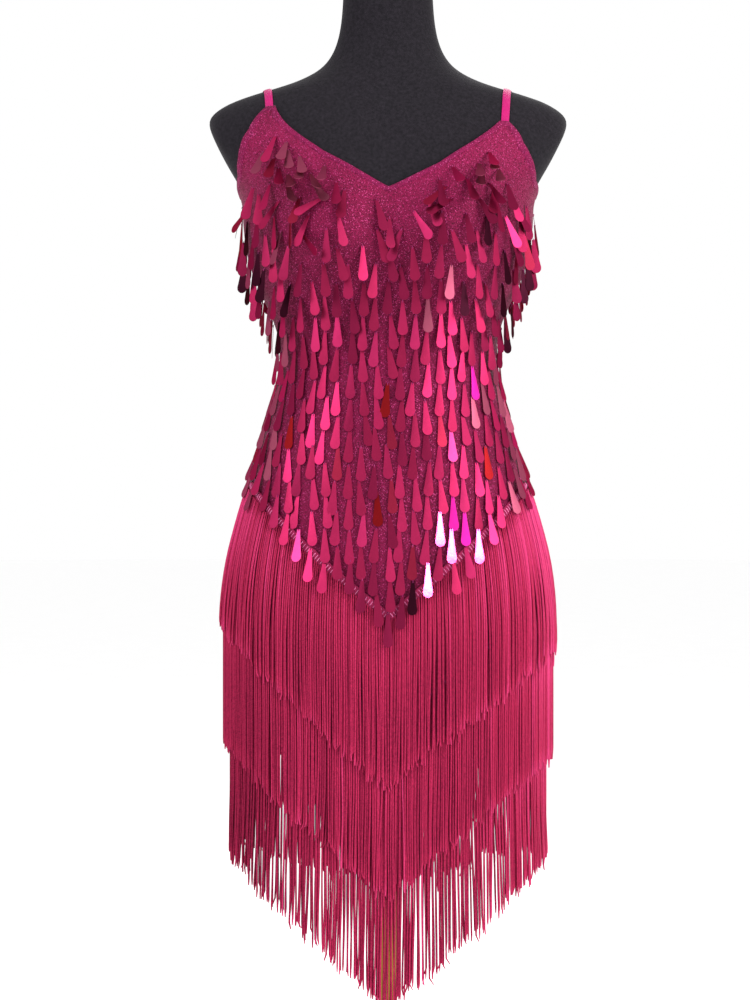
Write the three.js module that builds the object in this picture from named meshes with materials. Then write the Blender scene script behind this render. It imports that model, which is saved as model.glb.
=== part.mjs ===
// A sequin-and-fringe flapper mini dress, worn by a limbless dress form on a pole stand.
// Millimetres, +Z up. The dress faces -Y, and the origin is on the floor under the pole.
// Every wall of cloth follows one figure surface, at its own distance from it.
import * as THREE from "three";

// ---------- Driving dimensions ----------
const BASE_RADIUS = 160;
const BASE_THICKNESS = 9;
const BOSS_RADIUS = 24;
const BOSS_TOP = 34;
const POLE_RADIUS = 10;
const FLANGE_RADIUS = 36;
const FLANGE_THICKNESS = 6;
const FORM_BOTTOM = 640;
const FORM_TOP = 1400;
const FORM_ROUND = 14; // the rounding of its lower edge and of the neck's top
const FORM_SIDES = 46;

const CLEARANCE = 0.3; // between pieces that touch
const CLOTH_INSIDE = 2.8; // the cloth's inner face, from the figure
const CLOTH_THICKNESS = 1.5;
const CLOTH_OUTSIDE = CLOTH_INSIDE + CLOTH_THICKNESS;

const STRAP_WIDTH = 8;
const STRAP_THICKNESS = 1.2;
const STRAP_LIFT = 1; // the strap's underside, from the form
const STRAP_STEPS = 32;
const STRAP_END_GAP = 1.4; // from the strap's cut end to the rim that it is sewn to

const TAPE_HEIGHT = 8; // the woven heading that carries a tier's fringe
const TAPE_THICKNESS = 1.2;
const TAPE_INSIDE = CLOTH_OUTSIDE + 0.7;
const LOCK_THICKNESS = 1.6;
const LOCK_SHARE = 0.62; // of each lock's pitch that is thread, the rest is air
const LOCK_END_SHARE = 0.72; // of a lock's width, left at its cut end
const LOCK_FLARE = 0.035; // how far a lock stands off for each millimetre that it falls
const FRINGE_LENGTH = 170;
const FRINGE_UNEVEN = 4;

// The rims: each is highest at the side seams and comes to a point at the centre front,
// with a shallower point at the centre back.
const BASQUE_FRONT = 722;
const BASQUE_DROP = 136;
const HEM_FRONT = 486;
const HEM_DROP = 143;
const BACK_DROP_SHARE = 0.4; // the back point's depth, as a share of the front's

// Each fringe tier: where its tape lies at the centre front, how far it rises to the side seam,
// how many locks hang from it, and how many straight stretches each lock is made of.
const TIERS = [
  { name: "fringe_tier_1", front: 722, rise: 136, locks: 70, stretches: 3 },
  { name: "fringe_tier_2", front: 610, rise: 138, locks: 68, stretches: 1 },
  { name: "fringe_tier_3", front: 498, rise: 143, locks: 66, stretches: 1 },
];

// ---------- The figure ----------
// Horizontal sections of a general figure: half the width, and the depths in front of and behind
// the side line, which lies at mid. The form's solid ends at FORM_BOTTOM; below that the rows
// only guide the hanging cloth.
const SECTIONS = [
  { z: 320, half: 152, front: 86, back: 97, mid: 0 },
  { z: 480, half: 153, front: 87, back: 99, mid: 0 },
  { z: 560, half: 154, front: 88, back: 102, mid: 0 },
  { z: 620, half: 156, front: 90, back: 106, mid: 0 },
  { z: 660, half: 160, front: 92, back: 110, mid: 0 },
  { z: 700, half: 163, front: 94, back: 114, mid: 0 },
  { z: 740, half: 162.5, front: 95, back: 115, mid: 0 },
  { z: 780, half: 158.5, front: 96, back: 112, mid: 0 },
  { z: 820, half: 150, front: 96, back: 106, mid: 0 },
  { z: 860, half: 139, front: 95, back: 98, mid: 0 },
  { z: 900, half: 128, front: 92, back: 89, mid: 0 },
  { z: 930, half: 120, front: 89, back: 82, mid: 0 },
  { z: 960, half: 112, front: 86, back: 76, mid: 0 },
  { z: 985, half: 108.5, front: 85, back: 73, mid: 0 },
  { z: 1010, half: 111, front: 86, back: 74, mid: 0 },
  { z: 1030, half: 117, front: 88, back: 77, mid: 0 },
  { z: 1050, half: 126, front: 91, back: 81, mid: 0 },
  { z: 1075, half: 137, front: 95, back: 87, mid: 0 },
  { z: 1100, half: 144, front: 99, back: 92, mid: 0 },
  { z: 1125, half: 147, front: 101, back: 95, mid: 0 },
  { z: 1150, half: 149, front: 101, back: 95, mid: 2 },
  { z: 1168, half: 156, front: 101, back: 94, mid: 4 },
  { z: 1190, half: 174, front: 99, back: 91, mid: 6 },
  { z: 1207, half: 190, front: 97, back: 88, mid: 8 },
  { z: 1222, half: 197, front: 93, back: 85, mid: 10 },
  { z: 1238, half: 192, front: 88, back: 81, mid: 11 },
  { z: 1248, half: 181, front: 83, back: 78, mid: 12 },
  { z: 1256, half: 167, front: 79, back: 75, mid: 13 },
  { z: 1264, half: 143, front: 75, back: 72, mid: 13 },
  { z: 1274, half: 106, front: 70, back: 68, mid: 13 },
  { z: 1286, half: 79.5, front: 64, back: 64, mid: 13 },
  { z: 1297, half: 66, front: 58, back: 60, mid: 12 },
  { z: 1310, half: 57.5, front: 53, back: 57, mid: 11 },
  { z: 1325, half: 52, front: 49.5, back: 54, mid: 9 },
  { z: 1345, half: 48.5, front: 48, back: 51, mid: 6 },
  { z: 1370, half: 47, front: 47.5, back: 49, mid: 3 },
  { z: 1400, half: 46, front: 47.5, back: 48, mid: 2 },
];
const SECTION_POWER = 2.3; // 2 is an ellipse, more is squarer

// The two bust rounds: how far they stand out, where, and how soon they fade.
const BUST = { out: 28, x: 74, z: 1112, wide: 46, above: 58, below: 36 };

// The flat oval plates that close the armholes: each leans inwards as it goes down.
const PLATE = { z: 1168, x: 157.5, lean: 0.5, opening: 2, blend: 2.5 };

// The front's upper rim, from the armhole of one side to that of the other, as seen from the front.
const FRONT_RIM = [
  { x: -155, z: 1174 },
  { x: -154, z: 1188 },
  { x: -150.5, z: 1202 },
  { x: -142, z: 1218 },
  { x: -124.5, z: 1242 },
  { x: -116, z: 1242 },
  { x: -91.5, z: 1210 },
  { x: -66, z: 1191 },
  { x: -39, z: 1176 },
  { x: 0, z: 1154 },
  { x: 51, z: 1178 },
  { x: 83, z: 1200 },
  { x: 113.5, z: 1225 },
  { x: 122, z: 1225 },
  { x: 137, z: 1203 },
  { x: 145, z: 1191 },
  { x: 150, z: 1180 },
  { x: 152.5, z: 1169 },
];
const SIDE_TOP = 1160;
// The back's upper rim is nearly level: its height by the angle from the centre front.
const BACK_RIM = [
  { angle: 90, z: SIDE_TOP },
  { angle: 104, z: 1164 },
  { angle: 135, z: 1171 },
  { angle: 146, z: 1172 },
  { angle: 157, z: 1171 },
  { angle: 180, z: 1164 },
];

// Where each strap leaves the front, crosses the shoulder and meets the back.
const STRAPS = [
  { name: "strap_right_shoulder", front: -120.25, frontZ: 1242, top: -131.5, back: -96 },
  { name: "strap_left_shoulder", front: 117.75, frontZ: 1225, top: 129, back: 96 },
];
const STRAP_TURN = { y: 10, z: 1196 }; // the point that the straps turn about, inside the shoulder
const STRAP_BACK_Z = 1172;

// Colours, roughness and metalness.
const MATERIALS = {
  velvet: { color: 0x17161a, roughness: 0.95, metalness: 0 },
  brass: { color: 0xa8843c, roughness: 0.3, metalness: 1 },
  glitter: { color: 0x8a1a55, roughness: 0.55, metalness: 0.2 },
  satin: { color: 0xe0287c, roughness: 0.45, metalness: 0 },
  rayon: { color: 0xb51e58, roughness: 0.6, metalness: 0 },
};

// ---------- Shared helpers ----------
const radians = (degrees) => (degrees * Math.PI) / 180;
const degreesOf = (angle) => (angle * 180) / Math.PI;
const mix = (a, b, share) => a + (b - a) * share;

// Straight interpolation in a table, by its key column.
function onTable(rows, key, column, at) {
  if (at <= rows[0][key]) return rows[0][column];
  const last = rows[rows.length - 1];
  if (at >= last[key]) return last[column];
  const i = rows.findIndex((row) => row[key] > at) - 1;
  const [a, b] = [rows[i], rows[i + 1]];
  return mix(a[column], b[column], (at - a[key]) / (b[key] - a[key]));
}

// Smooth interpolation of a section's column by height. A row's slope comes from its neighbours.
function sectionAt(column, z) {
  const last = SECTIONS.length - 1;
  const height = Math.min(Math.max(z, SECTIONS[0].z), SECTIONS[last].z);
  const found = SECTIONS.findIndex((row) => row.z > height);
  const i = found < 0 ? last - 1 : found - 1;
  const slope = (k) => {
    const [low, high] = [SECTIONS[Math.max(k - 1, 0)], SECTIONS[Math.min(k + 1, last)]];
    return (high[column] - low[column]) / (high.z - low.z);
  };
  const [a, b] = [SECTIONS[i], SECTIONS[i + 1]];
  const span = b.z - a.z;
  const t = (height - a.z) / span;
  const [t2, t3] = [t * t, t * t * t];
  return (
    (2 * t3 - 3 * t2 + 1) * a[column] +
    (t3 - 2 * t2 + t) * span * slope(i) +
    (3 * t2 - 2 * t3) * b[column] +
    (t3 - t2) * span * slope(i + 1)
  );
}

const signedPower = (value, power) => Math.sign(value) * Math.abs(value) ** power;

// The armhole plate's half width at a height. It opens away quickly below its lower edge.
function plateHalf(z) {
  const up = z - PLATE.z;
  return PLATE.x + (up > 0 ? up * PLATE.lean : -up * PLATE.opening);
}

// The lesser of two numbers, rounded where they meet.
const softLesser = (a, b, blend) => b - blend * Math.log(1 + Math.exp((b - a) / blend));

function bustAt(x, z) {
  const across = (Math.abs(x) - BUST.x) / BUST.wide;
  const up = (z - BUST.z) / (z > BUST.z ? BUST.above : BUST.below);
  return BUST.out * Math.exp(-(across * across + up * up) / 2);
}

// A point of the figure, moved out by off. The angle is 0 at the centre front and 90 at +X.
function figurePoint(angle, z, off = 0, height = z) {
  const [s, c] = [Math.sin(radians(angle)), Math.cos(radians(angle))];
  const power = 2 / SECTION_POWER;
  const half = sectionAt("half", z) + off;
  const depth = sectionAt(c > 0 ? "front" : "back", z) + off;
  const width = half * Math.abs(s) ** power;
  const x = Math.sign(s) * softLesser(width, plateHalf(z) + off, PLATE.blend);
  const bust = c > 0 ? bustAt(x, z) * Math.sqrt(c) : 0;
  const y = sectionAt("mid", z) - depth * signedPower(c, power) - bust;
  return new THREE.Vector3(x, y, height);
}

// The angle at which the cloth has a given x, at a height.
function angleAcross(x, z) {
  const share = Math.min(1, Math.abs(x) / (sectionAt("half", z) + CLOTH_OUTSIDE));
  return Math.sign(x) * degreesOf(Math.asin(share ** (SECTION_POWER / 2)));
}

// A rim that comes to a point at the centre front and a shallower one at the centre back.
function pointedRim(angle, front, rise) {
  const [s, c] = [Math.sin(radians(angle)), Math.cos(radians(angle))];
  const across = Math.abs(s) ** (2 / SECTION_POWER);
  return front + rise * (c > 0 ? across : 1 - BACK_DROP_SHARE * (1 - across));
}

// ---------- Meshes ----------
class Faces {
  constructor() {
    this.positions = [];
  }
  triangle(a, b, c) {
    this.positions.push(...a.toArray(), ...b.toArray(), ...c.toArray());
  }
  quad(a, b, c, d) {
    this.triangle(a, b, c);
    this.triangle(a, c, d);
  }
  geometry() {
    const made = new THREE.BufferGeometry();
    made.setAttribute("position", new THREE.Float32BufferAttribute(this.positions, 3));
    made.computeVertexNormals();
    return made;
  }
}

const materials = {};
for (const [name, finish] of Object.entries(MATERIALS)) {
  materials[name] = new THREE.MeshStandardMaterial(finish);
}

function named(name, geometry, material) {
  const mesh = new THREE.Mesh(geometry, materials[material]);
  mesh.name = name;
  return mesh;
}

// A cloth panel: a wall between an inner and an outer surface. point(column, share, off) gives a
// point of it, with share 0 at the lower rim and 1 at the upper one.
function panel(columns, shares, point) {
  const faces = new Faces();
  const rows = shares.length - 1;
  const surface = (off) => columns.map((column) => shares.map((share) => point(column, share, off)));
  const [inner, outer] = [surface(CLOTH_INSIDE), surface(CLOTH_OUTSIDE)];
  for (let i = 0; i + 1 < columns.length; i++) {
    for (let j = 0; j < rows; j++) {
      faces.quad(outer[i][j], outer[i + 1][j], outer[i + 1][j + 1], outer[i][j + 1]);
      faces.quad(inner[i][j], inner[i][j + 1], inner[i + 1][j + 1], inner[i + 1][j]);
    }
    faces.quad(inner[i][0], inner[i + 1][0], outer[i + 1][0], outer[i][0]);
    faces.quad(outer[i][rows], outer[i + 1][rows], inner[i + 1][rows], inner[i][rows]);
  }
  const end = columns.length - 1;
  for (let j = 0; j < rows; j++) {
    faces.quad(inner[0][j], outer[0][j], outer[0][j + 1], inner[0][j + 1]);
    faces.quad(outer[end][j], inner[end][j], inner[end][j + 1], outer[end][j + 1]);
  }
  return faces.geometry();
}

// Angles from one side to the other that are evenly spaced along the figure's section at a height.
function evenAngles(from, to, count, z) {
  const fine = 720;
  const lengths = [0];
  const at = (k) => mix(from, to, k / fine);
  for (let k = 1; k <= fine; k++) {
    lengths.push(lengths[k - 1] + figurePoint(at(k), z).distanceTo(figurePoint(at(k - 1), z)));
  }
  return Array.from({ length: count + 1 }, (_, i) => {
    const goal = (lengths[fine] * i) / count;
    const k = Math.max(1, lengths.findIndex((length) => length >= goal - 1e-9));
    return at(k - 1 + (goal - lengths[k - 1]) / (lengths[k] - lengths[k - 1]));
  });
}

// ---------- The dress form ----------
function formBody() {
  const [low, high] = [FORM_BOTTOM + FORM_ROUND, FORM_TOP - FORM_ROUND];
  const between = SECTIONS.map((row) => row.z).filter((z) => z > low && z < high);
  const heights = [FORM_BOTTOM, FORM_BOTTOM + 4, low, ...between, high, FORM_TOP - 4, FORM_TOP];
  const rings = heights.map((z) => {
    const short = Math.max(0, FORM_ROUND - (z - FORM_BOTTOM), FORM_ROUND - (FORM_TOP - z));
    const inset = FORM_ROUND - Math.sqrt(FORM_ROUND ** 2 - short ** 2);
    return Array.from({ length: FORM_SIDES }, (_, i) => figurePoint((360 * i) / FORM_SIDES, z, -inset));
  });
  const faces = new Faces();
  const last = rings.length - 1;
  const bottom = new THREE.Vector3(0, 0, FORM_BOTTOM);
  const top = new THREE.Vector3(0, sectionAt("mid", FORM_TOP), FORM_TOP);
  for (let i = 0; i < FORM_SIDES; i++) {
    const next = (i + 1) % FORM_SIDES;
    for (let j = 0; j < last; j++) {
      faces.quad(rings[j][i], rings[j][next], rings[j + 1][next], rings[j + 1][i]);
    }
    faces.triangle(bottom, rings[0][next], rings[0][i]);
    faces.triangle(top, rings[last][i], rings[last][next]);
  }
  return faces.geometry();
}

// A solid of revolution about the Z axis, from [radius, height] pairs that start and end on it.
function turned(profile, sides) {
  const points = profile.map(([radius, height]) => new THREE.Vector2(radius, height));
  return new THREE.LatheGeometry(points, sides).rotateX(Math.PI / 2);
}

function pole() {
  const top = FORM_BOTTOM - CLEARANCE;
  return turned(
    [
      [0, BASE_THICKNESS + CLEARANCE],
      [POLE_RADIUS, BASE_THICKNESS + CLEARANCE],
      [POLE_RADIUS, top - FLANGE_THICKNESS - 10],
      [POLE_RADIUS + 6, top - FLANGE_THICKNESS],
      [FLANGE_RADIUS, top - FLANGE_THICKNESS],
      [FLANGE_RADIUS, top],
      [0, top],
    ],
    24,
  );
}

// The base disc, with a boss that the pole stands in.
function base() {
  const bore = POLE_RADIUS + CLEARANCE;
  return turned(
    [
      [0, 0],
      [BASE_RADIUS, 0],
      [BASE_RADIUS, BASE_THICKNESS - 4],
      [BASE_RADIUS - 3, BASE_THICKNESS],
      [BOSS_RADIUS + 4, BASE_THICKNESS],
      [BOSS_RADIUS, BASE_THICKNESS + 4],
      [BOSS_RADIUS - 4, BOSS_TOP],
      [bore, BOSS_TOP],
      [bore, BASE_THICKNESS],
      [0, BASE_THICKNESS],
    ],
    36,
  );
}

// ---------- The bodice and the underskirt ----------
const seamHalf = CLEARANCE / 2;
const seamAngle = degreesOf(seamHalf / (sectionAt("half", 985) + CLOTH_INSIDE)); // at the waist
const basque = (angle) => pointedRim(angle, BASQUE_FRONT, BASQUE_DROP);
const hem = (angle) => pointedRim(angle, HEM_FRONT, HEM_DROP);

const frontRim = [
  { angle: -90, z: SIDE_TOP },
  ...FRONT_RIM.map(({ x, z }) => ({ angle: angleAcross(x, z), z })),
  { angle: 90, z: SIDE_TOP },
];
const frontTop = (angle) => onTable(frontRim, "angle", "z", angle);
const backTop = (angle) => onTable(BACK_RIM, "angle", "z", angle > 180 ? 360 - angle : angle);

// The panel's columns: the corners of its rim, and even steps between those that lie far apart.
function columnsWith(corners, step) {
  const columns = [corners[0]];
  for (let i = 1; i < corners.length; i++) {
    const parts = Math.max(1, Math.ceil((corners[i] - corners[i - 1]) / step - 0.01));
    for (let k = 1; k <= parts; k++) columns.push(mix(corners[i - 1], corners[i], k / parts));
  }
  return columns;
}

function sidePanel(columns, shares, lower, upper) {
  const point = (angle, share, off) => figurePoint(angle, mix(lower(angle), upper(angle), share), off);
  return panel(columns, shares, point);
}

// Even shares from 0 to 1, with coarse steps as far as turn and fine ones after it.
function steps(coarse, turn = 1, fine = 0) {
  const low = Array.from({ length: coarse }, (_, i) => (turn * i) / coarse);
  const high = Array.from({ length: fine + 1 }, (_, i) => mix(turn, 1, fine ? i / fine : 1));
  return [...low, ...high];
}

const frontSides = [-90 + seamAngle, 90 - seamAngle];
const backSides = [90 + seamAngle, 270 - seamAngle];

// Bodice and skirt share their columns, so the edges that meet run alike.
const rimAngles = (rows) => rows.slice(1, -1).map((row) => row.angle);
const halfBack = BACK_RIM.slice(1).map((row) => row.angle);
const frontCorners = [frontSides[0], ...rimAngles(frontRim), frontSides[1]];
const otherHalf = rimAngles(BACK_RIM).map((angle) => 360 - angle);
const backCorners = [backSides[0], ...halfBack, ...otherHalf.reverse(), backSides[1]];
const frontColumns = columnsWith(frontCorners, 7);
const backColumns = columnsWith(backCorners, 12);

const aboveSeam = (angle) => basque(angle) + seamHalf;
const bodice = (columns, shares, top) => sidePanel(columns, shares, aboveSeam, top);
const skirt = (columns) => sidePanel(columns, steps(5), hem, (angle) => basque(angle) - seamHalf);

// ---------- The straps ----------
// Each strap is a ribbon that lies on the form: its underside is found by rays from inside the shoulder.
function strap({ front, frontZ, top, back }, form) {
  const ray = new THREE.Raycaster();
  const skin = new THREE.Mesh(form, new THREE.MeshBasicMaterial({ side: THREE.DoubleSide }));
  skin.updateMatrixWorld(true);
  const shoulder = STRAP_TURN;
  const frontY = figurePoint(angleAcross(front, frontZ), frontZ, CLOTH_INSIDE).y;
  const backY = figurePoint(180 - angleAcross(back, STRAP_BACK_Z), STRAP_BACK_Z, CLOTH_INSIDE).y;
  const start = Math.atan2(frontZ + STRAP_END_GAP - shoulder.z, shoulder.y - frontY);
  const finish = Math.PI - Math.atan2(STRAP_BACK_Z + STRAP_END_GAP - shoulder.z, backY - shoulder.y);
  const rings = Array.from({ length: STRAP_STEPS + 1 }, (_, i) => {
    const share = i / STRAP_STEPS;
    const turn = mix(start, finish, share);
    const out = new THREE.Vector3(0, -Math.cos(turn), Math.sin(turn));
    const x = share < 0.5 ? mix(front, top, share * 2) : mix(top, back, share * 2 - 1);
    // The ends lie as far out as the cloth that they are sewn to, and the rest on the form.
    const nearEnd = Math.max(0, 1 - Math.min(share, 1 - share) * 8);
    const lift = mix(STRAP_LIFT, CLOTH_INSIDE, nearEnd);
    const edge = (side) => {
      const from = new THREE.Vector3(x + (side * STRAP_WIDTH) / 2, shoulder.y, shoulder.z);
      ray.set(from, out);
      const hits = ray.intersectObject(skin);
      return from.clone().addScaledVector(out, hits[hits.length - 1].distance + lift);
    };
    const [low, high] = [edge(-1), edge(1)];
    const across = high.clone().sub(low).normalize();
    const up = out.clone().addScaledVector(across, -out.dot(across)).setLength(STRAP_THICKNESS);
    return [low, high, high.clone().add(up), low.clone().add(up)];
  });
  const faces = new Faces();
  for (let i = 0; i < STRAP_STEPS; i++) {
    for (let k = 0; k < 4; k++) {
      const next = (k + 1) % 4;
      faces.quad(rings[i][next], rings[i][k], rings[i + 1][k], rings[i + 1][next]);
    }
  }
  const end = rings[STRAP_STEPS];
  faces.quad(rings[0][0], rings[0][1], rings[0][2], rings[0][3]);
  faces.quad(end[3], end[2], end[1], end[0]);
  return faces.geometry();
}

// ---------- The fringe ----------
const WIDEST_Z = 712; // the figure is widest here, and fringe hangs straight down from it

// How far below the nominal end a lock's cut end is, different for each lock.
const unevenness = (k) => FRINGE_UNEVEN * Math.sin(k * 2.39996 + Math.cos(k * 1.7));

// A tier: a tape all round the skirt, and locks of thread that fall from its lower edge.
function fringeTier({ front, rise, locks, stretches }) {
  const starts = evenAngles(0, 360, locks, WIDEST_Z);
  const tapeMiddle = (angle) => pointedRim(angle, front, rise);
  const tapePoint = (angle, up, off) => figurePoint(angle, tapeMiddle(angle) + (up * TAPE_HEIGHT) / 2, off);
  const tapeOutside = TAPE_INSIDE + TAPE_THICKNESS;
  const edges = [];
  for (let k = 0; k < locks; k++) {
    const pitch = starts[k + 1] - starts[k];
    edges.push(starts[k] - (pitch * LOCK_SHARE) / 2, starts[k] + (pitch * LOCK_SHARE) / 2);
  }
  const tape = edges.map((angle) => ({
    topOut: tapePoint(angle, 1, tapeOutside),
    topIn: tapePoint(angle, 1, TAPE_INSIDE),
    lowOut: tapePoint(angle, -1, tapeOutside),
    lowIn: tapePoint(angle, -1, TAPE_INSIDE),
  }));
  const faces = new Faces();
  for (let k = 0; k < tape.length; k++) {
    const [a, b] = [tape[k], tape[(k + 1) % tape.length]];
    faces.quad(a.lowOut, b.lowOut, b.topOut, a.topOut);
    faces.quad(a.lowIn, a.topIn, b.topIn, b.lowIn);
    faces.quad(a.topOut, b.topOut, b.topIn, a.topIn);
    if (k % 2) faces.quad(a.lowIn, b.lowIn, b.lowOut, a.lowOut); // the open stretch between two locks
  }
  for (let k = 0; k < locks; k++) {
    const [left, right] = [tape[2 * k], tape[2 * k + 1]];
    const middle = starts[k];
    const halfAngle = (edges[2 * k + 1] - edges[2 * k]) / 2;
    const fall = FRINGE_LENGTH + unevenness(k);
    const rings = [[left.lowOut, right.lowOut, right.lowIn, left.lowIn]];
    for (let j = 1; j <= stretches; j++) {
      const drop = (fall * j) / stretches;
      const narrowed = halfAngle * mix(1, LOCK_END_SHARE, j / stretches);
      const corner = (side, off) => {
        const angle = middle + side * narrowed;
        const root = tapeMiddle(angle) - TAPE_HEIGHT / 2;
        const height = tapeMiddle(middle) - TAPE_HEIGHT / 2 - drop;
        const guide = Math.max(height, Math.min(WIDEST_Z, root));
        return figurePoint(angle, guide, off + drop * LOCK_FLARE, height);
      };
      const outside = TAPE_INSIDE + LOCK_THICKNESS;
      const [outerLeft, outerRight] = [corner(-1, outside), corner(1, outside)];
      rings.push([outerLeft, outerRight, corner(1, TAPE_INSIDE), corner(-1, TAPE_INSIDE)]);
    }
    for (let j = 0; j < stretches; j++) {
      for (let side = 0; side < 4; side++) {
        const next = (side + 1) % 4;
        faces.quad(rings[j + 1][side], rings[j + 1][next], rings[j][next], rings[j][side]);
      }
    }
    const end = rings[stretches];
    faces.quad(end[3], end[2], end[1], end[0]);
  }
  return faces.geometry();
}

// ---------- The whole ----------
const whole = new THREE.Group();
const form = formBody();
whole.add(named("form_base", base(), "brass"));
whole.add(named("form_pole", pole(), "brass"));
whole.add(named("form_body", form, "velvet"));
whole.add(named("bodice_front", bodice(frontColumns, steps(7, 0.6, 10), frontTop), "glitter"));
whole.add(named("bodice_back", bodice(backColumns, steps(12), backTop), "glitter"));
whole.add(named("skirt_front", skirt(frontColumns), "glitter"));
whole.add(named("skirt_back", skirt(backColumns), "glitter"));
for (const row of STRAPS) whole.add(named(row.name, strap(row, form), "satin"));
for (const tier of TIERS) whole.add(named(tier.name, fringeTier(tier), "rayon"));

export default whole;
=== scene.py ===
# %% [markdown]
# # A sequin and fringe dance dress on its stand
#
# A stretch dress in glitter cloth, sewn all over with teardrop sequins and hung with three
# tiers of fringe. It is worn by a black dress form on a brass pole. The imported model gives
# every piece its size and place, and this file gives each one its finish. Lengths are in
# metres, the dress faces -Y, and the floor is at zero.

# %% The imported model
import math

import bpy
import numpy as np
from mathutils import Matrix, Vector
from mathutils.bvhtree import BVHTree


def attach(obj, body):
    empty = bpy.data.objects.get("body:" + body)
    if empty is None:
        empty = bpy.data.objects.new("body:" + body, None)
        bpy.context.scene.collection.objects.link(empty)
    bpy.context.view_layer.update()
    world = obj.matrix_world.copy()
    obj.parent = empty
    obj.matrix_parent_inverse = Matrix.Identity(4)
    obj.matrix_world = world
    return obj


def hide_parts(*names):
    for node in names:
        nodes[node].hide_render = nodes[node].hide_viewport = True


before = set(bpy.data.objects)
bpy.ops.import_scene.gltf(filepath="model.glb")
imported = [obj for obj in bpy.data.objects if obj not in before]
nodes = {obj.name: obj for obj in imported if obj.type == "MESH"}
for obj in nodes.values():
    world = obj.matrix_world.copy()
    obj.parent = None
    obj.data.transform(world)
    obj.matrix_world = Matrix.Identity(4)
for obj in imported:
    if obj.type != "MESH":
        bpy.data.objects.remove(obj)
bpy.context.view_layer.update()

print("packed nodes:", sorted(nodes))

# %% [markdown]
# ## Camera
# A product shot of a dress is taken from hip height with a long lens, so that the hem and the
# shoulders look equally wide. The camera stands 2.4 m in front, a little to one side, and
# looks straight ahead.

# %% Camera
CAMERA_PLACE = Vector((-0.01365, -2.4, 0.84))

bpy.ops.object.camera_add(location=CAMERA_PLACE, rotation=(math.pi / 2, 0, 0))
camera = bpy.context.object
camera.data.lens = 82.3
bpy.context.scene.camera = camera
bpy.context.scene.view_settings.view_transform = "Standard"
print("camera:", tuple(camera.location), "lens", camera.data.lens)

# %% [markdown]
# ## Light and floor
# White paper all round gives foil something even to mirror, so the world is a plain pale
# light. Softboxes give the cloth its shape: one high on the left, a brighter and warmer one on
# the right, and one behind for the back. A small bright window at the right is what a few
# sequins flash back at the camera.


# %% Softboxes
def softbox(name, place, size, power, colour=(1, 1, 1), look_at=(0, 0, 0.85)):
    toward = Vector(look_at) - Vector(place)
    bpy.ops.object.light_add(
        type="AREA", location=place, rotation=toward.to_track_quat("-Z", "Y").to_euler()
    )
    box = bpy.context.object
    box.name = name
    box.data.shape = "SQUARE"
    box.data.size = size
    box.data.energy = power
    box.data.color = colour
    box.visible_camera = False


WINDOW_PLACE = Vector((1.36, -1.83, 1.08))
softbox("softbox_left", (-2.0, -1.9, 2.6), 2.0, 58, (1.0, 0.92, 1.0))
softbox("softbox_right", (2.3, -1.5, 2.1), 1.8, 72, (1.0, 0.96, 0.95))
softbox("softbox_behind", (0.6, 2.6, 2.6), 2.0, 44)
softbox("window", WINDOW_PLACE, 0.3, 12, look_at=(0.07, -0.1, 0.785))

world = bpy.data.worlds.new("white_studio")
world.use_nodes = True
sky = world.node_tree.nodes["Background"].inputs
sky["Color"].default_value, sky["Strength"].default_value = (1, 1, 1, 1), 1.0
bpy.context.scene.world = world
print("lights:", [light.name for light in bpy.data.lights])

# %% [markdown]
# ## Finishes as sums
# A finish is a recipe of patterns that are added and multiplied. Written as sums in Python it
# reads as it is meant. `Wire` stands for one output of a node, and `Finish` makes the nodes.


# %% Wire and Finish
class Wire:
    """One output of a shader node. A sum on it adds the Math node that does the sum."""

    def __init__(self, finish, socket):
        self.finish, self.socket = finish, socket

    def _sum(self, operation, first, second):
        return self.finish.node("ShaderNodeMath", {"operation": operation}, {0: first, 1: second})

    def __add__(self, other):
        return self._sum("ADD", self, other)

    def __sub__(self, other):
        return self._sum("SUBTRACT", self, other)

    def __rsub__(self, other):
        return self._sum("SUBTRACT", other, self)

    def __mul__(self, other):
        return self._sum("MULTIPLY", self, other)

    def __gt__(self, other):
        return self._sum("GREATER_THAN", self, other)


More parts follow.
